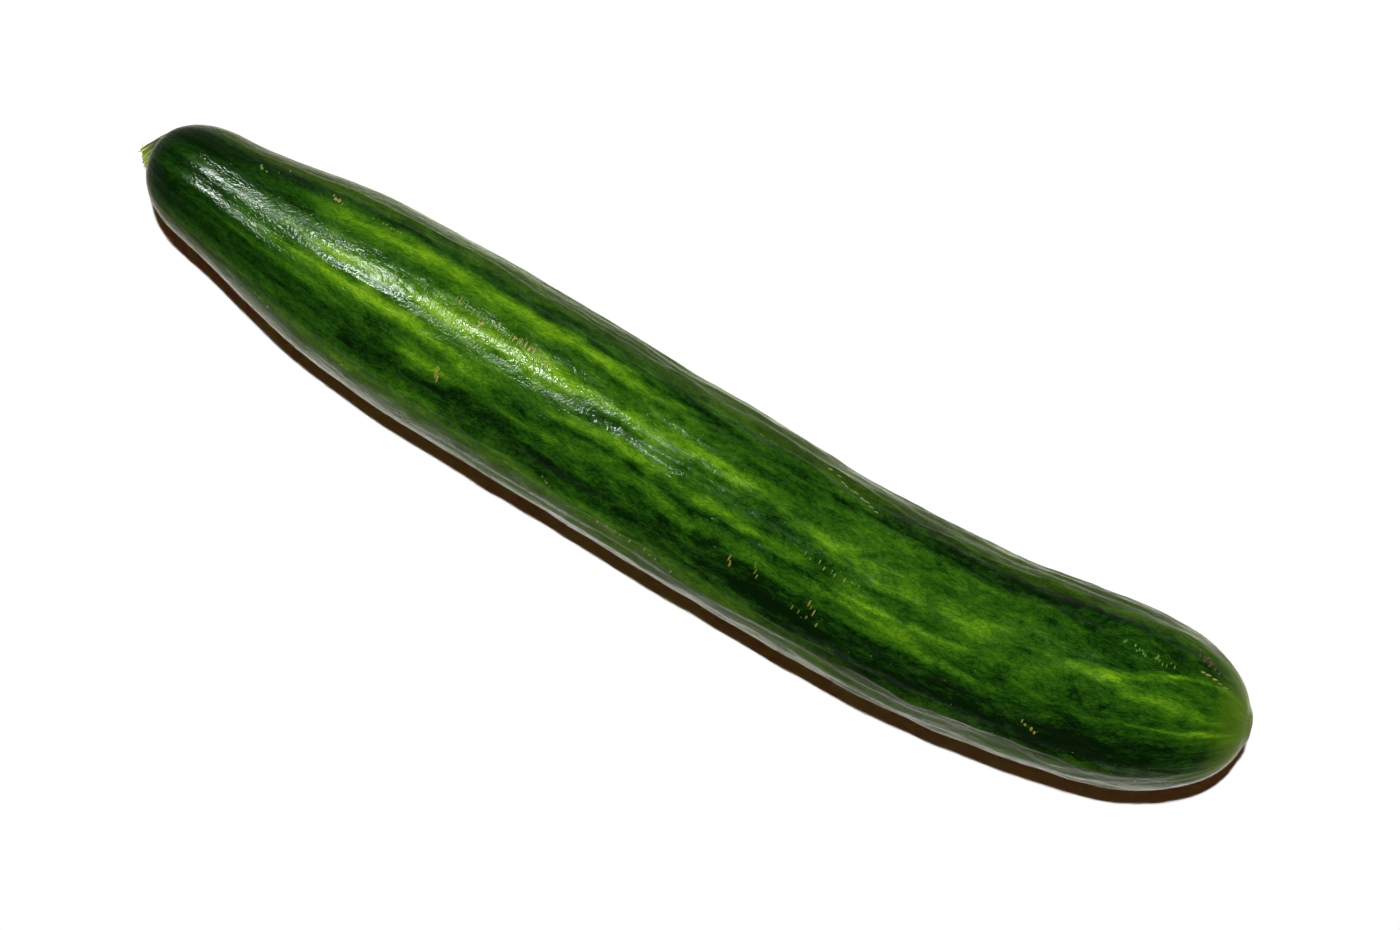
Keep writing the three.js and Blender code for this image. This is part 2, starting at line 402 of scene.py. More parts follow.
# Veins: each one wavers sideways as it runs.
swayed = node(form, MATH, uneven["vein sway"], around, operation="ADD")
vein = patches(form, along, swayed, VEINS)
radius = node(form, MATH, vein, radius, operation="ADD")

# The two rounded ends.
from_blossom = node(form, MATH, at_place["Span"], along, operation="SUBTRACT")
for from_pole, shape in ((along, STALK_DOME), (from_blossom, BLOSSOM_DOME)):
    out = node(form, MAP_RANGE, from_pole, 0, shape["length"], 1, 0)
    out = node(form, MATH, out, shape["fullness"], operation="POWER")
    left = node(form, MATH, 1, out, operation="SUBTRACT")
    share = node(form, MATH, left, 1 / shape["fullness"], operation="POWER")
    radius = node(form, MATH, radius, share, operation="MULTIPLY")
off_middle = node(form, VECTOR_MATH, outward, at={3: radius}, operation="SCALE")
point = node(form, VECTOR_MATH, middle_line, off_middle, operation="ADD")

# The boss under the blossom scar, and the flat that the fruit rests on.
by_blossom = node(form, MATH, along, FRUIT_SPAN / 2, operation="GREATER_THAN")
boss = node(form, MAP_RANGE, radius, SCAR_RADIUS, SCAR_RADIUS + SCAR_EDGE, SCAR_RISE, 0, **SMOOTH)
boss = node(form, MATH, boss, by_blossom, operation="MULTIPLY")
boss = node(form, VECTOR_MATH, ahead, at={3: boss}, operation="SCALE")
point = node(form, VECTOR_MATH, point, boss, operation="ADD")
parts = node(form, SEPARATE, point)
rests = node(form, MATH, parts.outputs[2], 0, operation="MAXIMUM")
point = node(form, COMBINE, parts.outputs[0], parts.outputs[1], rests)
form_gives = {"Position": point, "Outward": outward, "Ahead": ahead, "Straight": straight}
for label, value in form_gives.items():
    form.links.new(value.outputs[0], form_out.inputs[label])

# The skin is a sphere's mesh whose poles become the two ends of the fruit.
skin_inputs = (*SIZE_INPUTS, ("Rows", "Int"), ("Columns", "Int"), ("Finish", "Material"))
peel, skin_in, skin_out = new_tree("Cucumber skin", skin_inputs)
ball = node(peel, "GeometryNodeMeshUVSphere", skin_in["Columns"], skin_in["Rows"], 1)
ball_place = node(peel, SEPARATE, node(peel, "GeometryNodeInputPosition"))
half_span = node(peel, MATH, skin_in["Span"], 0.5, operation="MULTIPLY")
from_stalk = node(peel, MATH, 1, ball_place.outputs[2], operation="SUBTRACT")
from_stalk = node(peel, MATH, from_stalk, half_span, operation="MULTIPLY")
turn_round = node(peel, MATH, ball_place.outputs[1], ball_place.outputs[0], operation="ARCTAN2")
turn_round = node(peel, MATH, turn_round, operation="DEGREES")
skin_sizes = {name: skin_in[name] for name in SIZES}
on_skin = node(peel, "GeometryNodeGroup", node_tree=form,
               at={"Along": from_stalk, "Around": turn_round, **skin_sizes})

# The streaks are worked out on wavering places, so that none has a ruled edge.
waver_place = node(peel, VECTOR_MATH, on_skin.outputs["Straight"], STREAK_WAVES, operation="MULTIPLY")
waver = node(peel, NOISE, waver_place, 0, 1, 3, 0.6)
waver = node(peel, MATH, waver, STREAK_SWAY, -STREAK_SWAY / 2, operation="MULTIPLY_ADD")
streak_turn = node(peel, MATH, turn_round, waver, operation="ADD")
SKIN_LAYERS = {"pale": PALE_STREAKS, "deep": DEEP_STRETCHES, "rubbed": RUBBED_PATCHES}
shape = node(peel, "GeometryNodeStoreNamedAttribute", ball, None, "straight",
             on_skin.outputs["Straight"], data_type="FLOAT_VECTOR", domain="POINT")
for name, stretches in SKIN_LAYERS.items():
    strength = patches(peel, from_stalk, streak_turn, stretches)
    shape = node(peel, "GeometryNodeStoreNamedAttribute", shape, None, name, strength,
                 data_type="FLOAT", domain="POINT")
in_metres = node(peel, VECTOR_MATH, on_skin.outputs["Position"], at={3: MM}, operation="SCALE")
shape = node(peel, "GeometryNodeSetPosition", shape, None, in_metres)
end_tree(peel, shape, skin_in["Finish"], skin_out)


def new_finish(name):
    """Starts a material and returns it with its shader."""
    finish = bpy.data.materials.new(name)
    finish.use_nodes = True
    return finish, finish.node_tree.nodes["Principled BSDF"]


# Cucumber skin: green cells under a clear wax. The wax gives a soft gloss with a sheen at the
# edges, and the streaks, flecks and fine lengthwise grain show through it.
skin_finish, gloss = new_finish("waxy_cucumber_skin")
wax = skin_finish.node_tree
unrolled = node(wax, ATTRIBUTE, attribute_name="straight").outputs["Vector"]
skin_place = node(wax, SEPARATE, unrolled)
strengths = {}
for name in SKIN_LAYERS:
    layer = node(wax, ATTRIBUTE, attribute_name=name)
    strengths[name] = layer.outputs["Fac"]

# The pattern is read at wavering places, so that streaks meander and feather like grown tissue:
# length and width of the waves in millimetres, and how far they carry it along and across.
WAVERS = ((24, 9, (9, 5, 5)), (7, 2.8, (3.5, 2, 2)))
follows = unrolled
for length, width, reach in WAVERS:
    place = node(wax, VECTOR_MATH, follows, (1 / length, 1 / width, 1 / width), operation="MULTIPLY")
    waver = node(wax, NOISE, place, None, 1, 2, 0.5).outputs["Color"]
    waver = node(wax, VECTOR_MATH, waver, (0.5, 0.5, 0.5), operation="SUBTRACT")
    follows = node(wax, VECTOR_MATH, waver, reach, follows, operation="MULTIPLY_ADD")

# Patterns: millimetres along and across the fruit, detail, roughness, and how much each moves the
# tone. The skin of the knob by the stalk is plain; the small patterns come in along the neck. The
# crinkles are drawn coarser than real ones, which would be too fine to show.
PATTERNS = {
    "streak": (24, 5, 3, 0.55, 0.5),
    "blotch": (22, 9, 3, 0.55, 0.35),
    "flame": (9, 3.1, 3, 0.55, 0.54),
    "flake": (3.8, 1.7, 3, 0.55, 0.5),
    "fibre": (4, 0.8, 3, 0.55, 0.08),
    "scallop": (8, 30, 1, 0.5, 0),
    "crinkle": (1.0, 1.4, 2, 0.6, 0),
}
SMALL_PATTERNS = ("flame", "flake", "fibre")
PLAIN_STRETCH = (12, 85)
PLAIN_SHARE = 0.35
MIDDLE_TONE = 0.45
PALE_TONE = 0.4
DEEP_TONE = -0.26
tone = node(wax, MATH, strengths["pale"], PALE_TONE, MIDDLE_TONE, operation="MULTIPLY_ADD")
tone = node(wax, MATH, strengths["deep"], DEEP_TONE, tone, operation="MULTIPLY_ADD")
small_share = node(wax, MAP_RANGE, skin_place, *PLAIN_STRETCH, PLAIN_SHARE, 1, **SMOOTH)
fields = {}
for name, (length, width, detail, rough, weight) in PATTERNS.items():
    place = node(wax, VECTOR_MATH, follows, (1 / length, 1 / width, 1 / width), operation="MULTIPLY")
    fields[name] = node(wax, NOISE, place, None, 1, detail, rough)
    centred = node(wax, MATH, fields[name], 0.5, operation="SUBTRACT")
    if name in SMALL_PATTERNS:
        centred = node(wax, MATH, centred, small_share, operation="MULTIPLY")
    tone = node(wax, MATH, centred, weight, tone, operation="MULTIPLY_ADD")

# Dark seams between the patches of cells: their spacing, the share of a patch that they darken,
# and the tone that they add at the seam and away from it.
SEAM_LENGTH = 11
SEAM_WIDTH = 2.6
SEAM_REACH = 0.18
SEAM_TONES = (-0.13, 0.022)
seam_waves = (1 / SEAM_LENGTH, 1 / SEAM_WIDTH, 1 / SEAM_WIDTH)
place = node(wax, VECTOR_MATH, follows, seam_waves, operation="MULTIPLY")
seams = node(wax, "ShaderNodeTexVoronoi", place, feature="DISTANCE_TO_EDGE")
seam_tone = node(wax, MAP_RANGE, seams, 0, SEAM_REACH, *SEAM_TONES, **SMOOTH)
tone = node(wax, MATH, tone, seam_tone, operation="ADD")
GREENS = ((0.12, "#061804"), (0.27, "#123407"), (0.4, "#224809"), (0.5, "#2c540b"), (0.62, "#3b660d"),
          (0.76, "#527c10"), (0.92, "#6d9612"))
greens = node(wax, "ShaderNodeValToRGB", tone, stops=GREENS)

# Low on both flanks the green is mixed towards olive. This is a painted sheen: the warm tint that the wax
# shows at grazing angles, put into the skin's colour.
FLANK_WAVER = 3
FLANK_BAND = (0.74 * BODY_RADIUS + FLANK_WAVER / 2, 0.9 * BODY_RADIUS + FLANK_WAVER / 2)
PAINTED_SHEEN_MOST = 0.4
flank = node(wax, MATH, skin_place.outputs[1], operation="ABSOLUTE")
flank = node(wax, MATH, fields["streak"], FLANK_WAVER, flank, operation="MULTIPLY_ADD")
painted_sheen_share = node(wax, MAP_RANGE, flank, *FLANK_BAND, 0, PAINTED_SHEEN_MOST, **SMOOTH)
green_or_painted_sheen = node(wax, "ShaderNodeMix", painted_sheen_share, at={6: greens, 7: colour("#3b480b")},
                      data_type="RGBA")

# Towards the blossom scar it yellows.
YELLOW_WAVER = 6
YELLOW_STRETCH = (FRUIT_SPAN - 8, FRUIT_SPAN + 3)
YELLOW_MOST = 0.7
yellow_edge = node(wax, MATH, fields["flame"], YELLOW_WAVER, skin_place, operation="MULTIPLY_ADD")
yellow_share = node(wax, MAP_RANGE, yellow_edge, *YELLOW_STRETCH, 0, YELLOW_MOST, **SMOOTH)
skin_colour = node(wax, "ShaderNodeMix", yellow_share,
                   at={6: green_or_painted_sheen.outputs[2], 7: colour("#5c7a12")}, data_type="RGBA")
wax.links.new(skin_colour.outputs[2], gloss.inputs["Base Color"])

# The index is low because bloom on the wax dulls it face on and leaves the sheen at the edges.
gloss.inputs["IOR"].default_value = 1.1
gloss.inputs["Coat Roughness"].default_value = 0.15
gloss.inputs["Sheen Weight"].default_value = 0.19
gloss.inputs["Sheen Roughness"].default_value = 0.25
gloss.inputs["Sheen Tint"].default_value = colour("#dfe896")

# The bloom is thicker in some patches than in others, so the glints come and go. They are
# strongest where it is rubbed off, and on the body they are narrower than on the neck.
BODY_STARTS = (110, 160)
BLOOM_MOST = (0.3, 0.24)
BLOOM_LEAST = 0.11
BLOOM_EDGE = (0.38, 0.6)
SHINE_SHARES = (0.2, 0.44)
RUBBED_SHINE = 0.5
bloom_most = node(wax, MAP_RANGE, skin_place, *BODY_STARTS, *BLOOM_MOST, **SMOOTH)
bloom = node(wax, MAP_RANGE, fields["flame"], *BLOOM_EDGE, BLOOM_LEAST, bloom_most, **SMOOTH)
shine = node(wax, MAP_RANGE, flank, *FLANK_BAND, *SHINE_SHARES, **SMOOTH)
shine = node(wax, MATH, strengths["rubbed"], RUBBED_SHINE, shine, operation="MULTIPLY_ADD")
wax.links.new(shine.outputs[0], gloss.inputs["Specular IOR Level"])
wax.links.new(bloom.outputs[0], gloss.inputs["Roughness"])

# Bare wax shines most low on one flank, where nothing has rubbed it. Its upper edge is patchy and
# scalloped, and climbs in the second half of the fruit. A thin band of it shows high on the other.
WAX_PATCH_REACH = 5
SCALLOP_REACH = 7
WAX_CLIMBS = (180, 225)
WAX_HEIGHTS = (-3.5, -5.2)
LOW_WAX_BAND = (-0.84 * BODY_RADIUS, -0.93 * BODY_RADIUS)
LOW_WAX_SHARES = (0.02, 0.29)
HIGH_WAX_BAND = (0.92 * BODY_RADIUS, 0.98 * BODY_RADIUS)
HIGH_WAX_MOST = 0.03
patchy = node(wax, MATH, fields["blotch"], WAX_PATCH_REACH, -WAX_PATCH_REACH / 2, operation="MULTIPLY_ADD")
patchy = node(wax, MATH, fields["scallop"], SCALLOP_REACH, patchy, operation="MULTIPLY_ADD")
climb = node(wax, MAP_RANGE, skin_place, *WAX_CLIMBS, *WAX_HEIGHTS, **SMOOTH)
patchy = node(wax, MATH, patchy, climb, operation="ADD")
low_side = node(wax, MATH, skin_place.outputs[1], patchy, operation="ADD")
low_wax = node(wax, MAP_RANGE, low_side, *LOW_WAX_BAND, *LOW_WAX_SHARES, **SMOOTH)
high_wax = node(wax, MAP_RANGE, skin_place.outputs[1], *HIGH_WAX_BAND, 0, HIGH_WAX_MOST, **SMOOTH)
wax_share = node(wax, MATH, low_wax, high_wax, operation="ADD")
wax.links.new(wax_share.outputs[0], gloss.inputs["Coat Weight"])

# Fine relief: lengthwise grain, and crinkles across it that break up the glints of the neck.
CRINKLE_FADE = (105, 160)
CRINKLE_SHARES = (0.65, 0.12)
FLAKE_SHARE = 0.6
FIBRE_SHARE = 0.25
RELIEF_HEIGHT = 0.3
relief = node(wax, MATH, fields["flake"], FLAKE_SHARE, operation="MULTIPLY")
relief = node(wax, MATH, fields["fibre"], FIBRE_SHARE, relief, operation="MULTIPLY_ADD")
relief = node(wax, MATH, relief, small_share, operation="MULTIPLY")
crinkle_share = node(wax, MAP_RANGE, skin_place, *CRINKLE_FADE, *CRINKLE_SHARES, **SMOOTH)
relief = node(wax, MATH, fields["crinkle"], crinkle_share, relief, operation="MULTIPLY_ADD")
bump = node(wax, "ShaderNodeBump", 1, RELIEF_HEIGHT * MM, at={"Height": relief})
for socket in ("Normal", "Coat Normal"):
    wax.links.new(bump.outputs[0], gloss.inputs[socket])


def add_object(name, data):
    """Puts an object into the scene."""
    added = bpy.data.objects.new(name, data)
    bpy.context.scene.collection.objects.link(added)
    return added


def grown(tree, name, values):
    """Runs a geometry tree on an empty mesh and returns the plain mesh object that it gives."""
    start = add_object(name + "_start", bpy.data.meshes.new(name + "_start"))
    modifier = start.modifiers.new("grow", "NODES")
    modifier.node_group = tree
    for item in tree.interface.items_tree:
        if item.in_out == "INPUT":
            modifier[item.identifier] = values[item.name]
    graph = bpy.context.evaluated_depsgraph_get()
    mesh = bpy.data.meshes.new_from_object(start.evaluated_get(graph))
    mesh.name = name
    bpy.data.objects.remove(start)
    return add_object(name, mesh)


skin_values = {**SIZES, "Rows": SKIN_ROWS, "Columns": SKIN_COLUMNS, "Finish": skin_finish}
skin = grown(peel, "cucumber_skin", skin_values)
cad_low, cad_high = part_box("fruit")
made_low = Vector(map(min, *(v.co for v in skin.data.vertices)))
made_high = Vector(map(max, *(v.co for v in skin.data.vertices)))
into_place = (cad_low + cad_high - made_low - made_high) / 2
into_place.z = 0
skin.data.transform(Matrix.Translation(into_place))
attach(skin, "root")
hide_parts("fruit")

# Skin marks: where the skin once tore or rubbed it healed in little corky ridges, some in rows
# across the ribs like the rungs of a ladder, with dots of dried wax. They have grown into the skin.

# Rows of marks: first and last place along, first and last place round, straying in millimetres
# and degrees, how many, length along the fruit, width across it, height, share of cork.
MARK_ROWS = (
    (81, 107.5, 22, 17, 0.3, 1.0, 26, 0.45, 2.3, 0.12, 0.4),
    (84.9, 108.5, 14, 13, 0.3, 1.0, 22, 0.4, 1.6, 0.1, 0.1),
    (67.2, 102.6, 6, 3, 0.2, 0.9, 38, 0.42, 1.5, 0.12, 0.15),
    (43.7, 81, 17, 17, 0.8, 2.0, 24, 0.4, 1.1, 0.08, 0.0),
    (41.7, 44.2, 46, 44, 0.7, 1.5, 8, 0.6, 1.1, 0.16, 0.8),
    (22.1, 24, 43, 41, 0.5, 1.2, 4, 0.6, 0.8, 0.14, 0.6),
    (53.5, 61.3, 43, 41, 0.7, 0.8, 8, 0.5, 0.6, 0.12, 0.5),
    (85.9, 86.9, -19, -26, 0.5, 0.8, 8, 0.55, 1.4, 0.16, 0.8),
    (88.8, 89.8, 15, 18, 0.3, 0.8, 4, 0.6, 1.3, 0.16, 0.85),
    (97.7, 103.6, 20, 19, 0.3, 0.8, 5, 0.6, 1.6, 0.16, 0.8),
    (134, 135, 22, 26, 0.2, 0.5, 3, 0.3, 1.2, 0.1, 0.5),
    (168.4, 169.4, -25, -29, 0.2, 0.4, 3, 0.45, 1.6, 0.16, 0.85),
    (174.3, 176.2, -20, -26, 0.2, 0.3, 4, 0.35, 1.6, 0.12, 0.7),
    (190, 192, -24, -28, 0.2, 0.4, 3, 0.45, 1.7, 0.16, 0.85),
    (187, 193.9, -32, -34, 0.4, 0.8, 4, 0.45, 1.2, 0.14, 0.7),
    (183.1, 197.8, 0, -2, 0.5, 1.2, 9, 0.35, 1.2, 0.12, 0.4),
    (120.3, 123.2, -46, -49, 0.4, 0.6, 4, 0.5, 0.9, 0.18, 0.2),
    (136, 157.6, -52, -58, 1.5, 2.0, 9, 0.45, 1.4, 0.14, 0.6),
    (37.8, 41.7, -56, -58, 0.6, 0.8, 3, 0.5, 0.8, 0.12, 0.4),
    (63.3, 66.3, -54, -56, 0.4, 0.8, 3, 0.5, 0.9, 0.14, 0.3),
    (179.2, 192.9, 60, 47, 0.8, 1.0, 12, 1.3, 0.5, 0.14, 0.6),
    (159.5, 163.5, 54, 52, 0.5, 0.6, 4, 0.6, 0.5, 0.14, 0.3),
    (246.2, 250.2, -36, -41, 0.5, 0.6, 4, 0.6, 1.4, 0.15, 0.8),
    (264.2, 277.2, 33, 29, 1.6, 2.2, 16, 0.4, 0.9, 0.12, 0.35),
    (282.2, 288.2, 52, 42, 1.0, 3.0, 14, 0.9, 1.3, 0.12, 1.4),
    (284.2, 290.2, 35, 33, 0.3, 0.5, 5, 1.7, 0.45, 0.14, 0.9),
    (18.1, 284.2, 75, -60, 3.0, 25.0, 70, 0.3, 0.35, 0.07, 0.1),
    (28, 284.2, 90, 270, 3.0, 40.0, 90, 0.45, 0.9, 0.1, 0.4),
)
MARK_SEED = 21
DRAWS_A_ROW = 9
CORK_STRAY = 0.25
CORK_SHARE = 0.8
marks, marks_in, marks_out = new_tree("Skin marks", (*SIZE_INPUTS, ("Finish", "Material")))
marks_sizes = {name: marks_in[name] for name in SIZES}
crust = node(marks, "GeometryNodeMeshIcoSphere", 0.5, 2)
all_marks = node(marks, "GeometryNodeJoinGeometry")
for number, row in enumerate(MARK_ROWS):
    first, last, turn_first, turn_last, stray, turn_stray, count, length, width, height, cork = row
    line = node(marks, "GeometryNodeMeshLine", count)
    share = node(marks, "GeometryNodeInputIndex")
    share = node(marks, MATH, share, max(count - 1, 1), operation="DIVIDE")
    ranges = {
        "along": (-stray, stray),
        "turn": (-turn_stray, turn_stray),
        "size": (0.6, 1.3),
        "wide": (0.55, 1.35),
        "cork": (cork - CORK_STRAY, cork + CORK_STRAY),
    }
    random = {}
    for place, (name, (low, high)) in enumerate(ranges.items()):
        seed = MARK_SEED + DRAWS_A_ROW * number + place
        drawn = node(marks, "FunctionNodeRandomValue", at={2: low, 3: high, "Seed": seed})
        random[name] = drawn.outputs[1]
    mark_along = node(marks, MATH, share, last - first, random["along"], operation="MULTIPLY_ADD")
    mark_along = node(marks, MATH, mark_along, first, operation="ADD")
    turn_step = turn_last - turn_first
    mark_turn = node(marks, MATH, share, turn_step, random["turn"], operation="MULTIPLY_ADD")
    mark_turn = node(marks, MATH, mark_turn, turn_first, operation="ADD")
    mark_turn = node(marks, MATH, mark_turn, 180, -180, operation="WRAP")
    under = node(marks, "GeometryNodeGroup", node_tree=form,
                 at={"Along": mark_along, "Around": mark_turn, **marks_sizes})
    spots = node(marks, VECTOR_MATH, under.outputs["Position"], at={3: MM}, operation="SCALE")
    spots = node(marks, "GeometryNodeSetPosition", line, None, spots)
    lie = node(marks, "FunctionNodeAxesToRotation", under.outputs["Outward"],
               under.outputs["Ahead"], primary_axis="Z", secondary_axis="X")
    mark_length = node(marks, MATH, random["size"], length * MM, operation="MULTIPLY")
    mark_width = node(marks, MATH, random["wide"], width * MM, operation="MULTIPLY")
    mark_height = node(marks, MATH, random["size"], 2 * height * MM, operation="MULTIPLY")
    mark_size = node(marks, COMBINE, mark_length, mark_width, mark_height)
    row_marks = node(marks, "GeometryNodeInstanceOnPoints", spots, None, crust,
                     at={"Rotation": lie, "Scale": mark_size})
    corky = node(marks, MATH, random["cork"], CORK_SHARE, operation="MULTIPLY", use_clamp=True)
    row_marks = node(marks, "GeometryNodeStoreNamedAttribute", row_marks, None, "cork", corky,
                     data_type="FLOAT", domain="INSTANCE")
    marks.links.new(row_marks.outputs[0], all_marks.inputs[0])
end_tree(marks, all_marks, marks_in["Finish"], marks_out)


def dress(tree, tone, stops, height, relief, strength):
    """Colours a material by its tone, and gives it relief of so many millimetres."""
    shader = tree.nodes["Principled BSDF"]
    colours = node(tree, "ShaderNodeValToRGB", tone, stops=stops)
    tree.links.new(colours.outputs[0], shader.inputs["Base Color"])
    bump = node(tree, "ShaderNodeBump", strength, relief * MM, at={"Height": height})
    tree.links.new(bump.outputs[0], shader.inputs["Normal"])


# Healed skin: from pale waxy green to tan cork, mottled so that no mark is one flat colour.
HEAL_GRAIN = 0.5
HEAL_MOTTLE = 0.7
HEAL_RELIEF = 0.1
HEALED = ((0.0, "#33600e"), (0.35, "#517417"), (0.58, "#7d762c"), (0.78, "#92783a"), (1.0, "#34240c"))
mark_finish, heal_shader = new_finish("corky_healed_skin")
heal = mark_finish.node_tree
cork_share = node(heal, ATTRIBUTE, attribute_name="cork").outputs["Fac"]
heal_place = node(heal, "ShaderNodeTexCoord").outputs["Object"]
mottle = node(heal, NOISE, heal_place, None, 1 / (HEAL_GRAIN * MM), 2, 0.6)
mottled = node(heal, MATH, mottle, 0.5, operation="SUBTRACT")
mottled = node(heal, MATH, mottled, HEAL_MOTTLE, cork_share, operation="MULTIPLY_ADD")
dress(heal, mottled, HEALED, mottle, HEAL_RELIEF, 0.6)
heal_shader.inputs["Roughness"].default_value = 0.35
heal_shader.inputs["IOR"].default_value = 1.2

skin_marks = grown(marks, "skin_marks", {**SIZES, "Finish": mark_finish})
skin_marks.data.transform(Matrix.Translation(into_place))
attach(skin_marks, "root")

# Blossom scar: the dry corky pad that the flower left on the far end, a low ragged disc with a raised
# rim and a sunken middle. It is the fruit's own tissue, thinnest at its edge.
PAD_RADIUS = 3.9
PAD_THICKNESS = 0.35
PAD_SIDES = 120
PAD_ROWS = 60
RIM_STARTS = 0.75
MIDDLE_THICKNESS = 0.35
pad_inputs = (*SIZE_INPUTS, ("Pad radius", "Float"), ("Pad thickness", "Float"), ("Finish", "Material"))
pad, pad_in, pad_out = new_tree("Blossom scar", pad_inputs)
lens = node(pad, "GeometryNodeMeshUVSphere", PAD_SIDES, PAD_ROWS, 1)
lens_place = node(pad, "GeometryNodeInputPosition")
lens_parts = node(pad, SEPARATE, lens_place)
lens_turn = node(pad, MATH, lens_parts.outputs[1], lens_parts.outputs[0], operation="ARCTAN2")
lens_turn = node(pad, MATH, lens_turn, operation="DEGREES")
lens_height = lens_parts.outputs[2]
out_share = node(pad, MATH, lens_height, lens_height, operation="MULTIPLY")
out_share = node(pad, MATH, 1, out_share, operation="SUBTRACT")
out_share = node(pad, MATH, out_share, operation="SQRT")
ragged = node(pad, NOISE, lens_place, None, 3.5, 3, 0.6)
ragged = node(pad, MATH, ragged, 0.4, 0.8, operation="MULTIPLY_ADD")
pad_share = node(pad, MATH, pad_in["Pad radius"], pad_in["Body radius"], operation="DIVIDE")
pad_reach = node(pad, MATH, out_share, ragged, operation="MULTIPLY")
pad_reach = node(pad, MATH, pad_reach, pad_share, operation="MULTIPLY")

# The distance from the pole at which the rounded end is this wide.
inner = node(pad, MATH, pad_reach, BLOSSOM_DOME["fullness"], operation="POWER")
inner = node(pad, MATH, 1, inner, operation="SUBTRACT")
inner = node(pad, MATH, inner, 1 / BLOSSOM_DOME["fullness"], operation="POWER")
back_from_pole = node(pad, MATH, 1, inner, operation="SUBTRACT")
back_from_pole = node(pad, MATH, back_from_pole, BLOSSOM_DOME["length"], operation="MULTIPLY")
pad_along = node(pad, MATH, pad_in["Span"], back_from_pole, operation="SUBTRACT")
pad_sizes = {name: pad_in[name] for name in SIZES}
under = node(pad, "GeometryNodeGroup", node_tree=form,
             at={"Along": pad_along, "Around": lens_turn, **pad_sizes})
rim = node(pad, MAP_RANGE, out_share, 0, RIM_STARTS, MIDDLE_THICKNESS, 1, **SMOOTH)
crumbs = node(pad, NOISE, lens_place, None, 9, 3, 0.65)
crumbs = node(pad, MATH, crumbs, 1.2, 0.3, operation="MULTIPLY_ADD")
thick = node(pad, MATH, crumbs, rim, operation="MULTIPLY")
half_thick = node(pad, MATH, lens_height, pad_in["Pad thickness"], operation="MULTIPLY")
thick = node(pad, MATH, thick, half_thick, operation="MULTIPLY")
on_end = node(pad, VECTOR_MATH, under.outputs["Ahead"], at={3: thick}, operation="SCALE")
on_end = node(pad, VECTOR_MATH, on_end, under.outputs["Position"], operation="ADD")
on_end = node(pad, VECTOR_MATH, on_end, at={3: MM}, operation="SCALE")
pad_shape = node(pad, "GeometryNodeStoreNamedAttribute", lens, None, "ring", out_share,
                 data_type="FLOAT", domain="POINT")
pad_shape = node(pad, "GeometryNodeSetPosition", pad_shape, None, on_end)
end_tree(pad, pad_shape, pad_in["Finish"], pad_out)

# Dried cork: tan at the rim, brown in the middle, cracked and matt.
DRIED_GRAIN = 0.9
DRIED_MOTTLE = 1.1
DRIED_RELIEF = 0.25
DRIED = ((0.1, "#2c1f0e"), (0.45, "#5f4a20"), (0.8, "#756a2c"), (1.0, "#566418"))
pad_finish, dried_shader = new_finish("dried_blossom_cork")
dried = pad_finish.node_tree
ring_share = node(dried, ATTRIBUTE, attribute_name="ring").outputs["Fac"]
dried_place = node(dried, "ShaderNodeTexCoord").outputs["Object"]
dried_mottle = node(dried, NOISE, dried_place, None, 1 / (DRIED_GRAIN * MM), 4, 0.65)
dried_tone = node(dried, MATH, dried_mottle, 0.5, operation="SUBTRACT")
dried_tone = node(dried, MATH, dried_tone, DRIED_MOTTLE, ring_share, operation="MULTIPLY_ADD")
dress(dried, dried_tone, DRIED, dried_mottle, DRIED_RELIEF, 0.8)
dried_shader.inputs["Roughness"].default_value = 0.8

pad_values = {**SIZES, "Pad radius": PAD_RADIUS, "Pad thickness": PAD_THICKNESS, "Finish": pad_finish}
blossom_scar = grown(pad, "blossom_scar", pad_values)
blossom_scar.data.transform(Matrix.Translation(into_place))
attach(blossom_scar, "root")

# Stalk stub: a finger's breadth of the green, fibrous stalk that the fruit hung from. It has five
# ribs, flares where it joins the neck, leans across the end, and was torn off at a slant.
STALK_RADIUS = 2.35
STALK_FLARE = 0.8
STALK_RIBS = 5
STALK_RIB_HEIGHT = 0.22
STALK_ROUGHNESS = 0.12
STALK_WAVES = (2.5, 3)
STALK_ROOT = Vector((1.5, 2.7, 1.6))
STALK_BEND = Vector((-1.4, 0.8, -1.2))
STALK_TIP = Vector((-3.8, -3.6, -2.4))
STALK_SLANT = 0.4
STALK_RAGGED = 0.25
TEAR_HEIGHT = 0.5
TEAR_WAVES = 4
TEAR_SEED = 9
TEAR_FADE = 8
STALK_LENGTH = 8
STALK_ROWS = 60
STALK_SIDES = 120

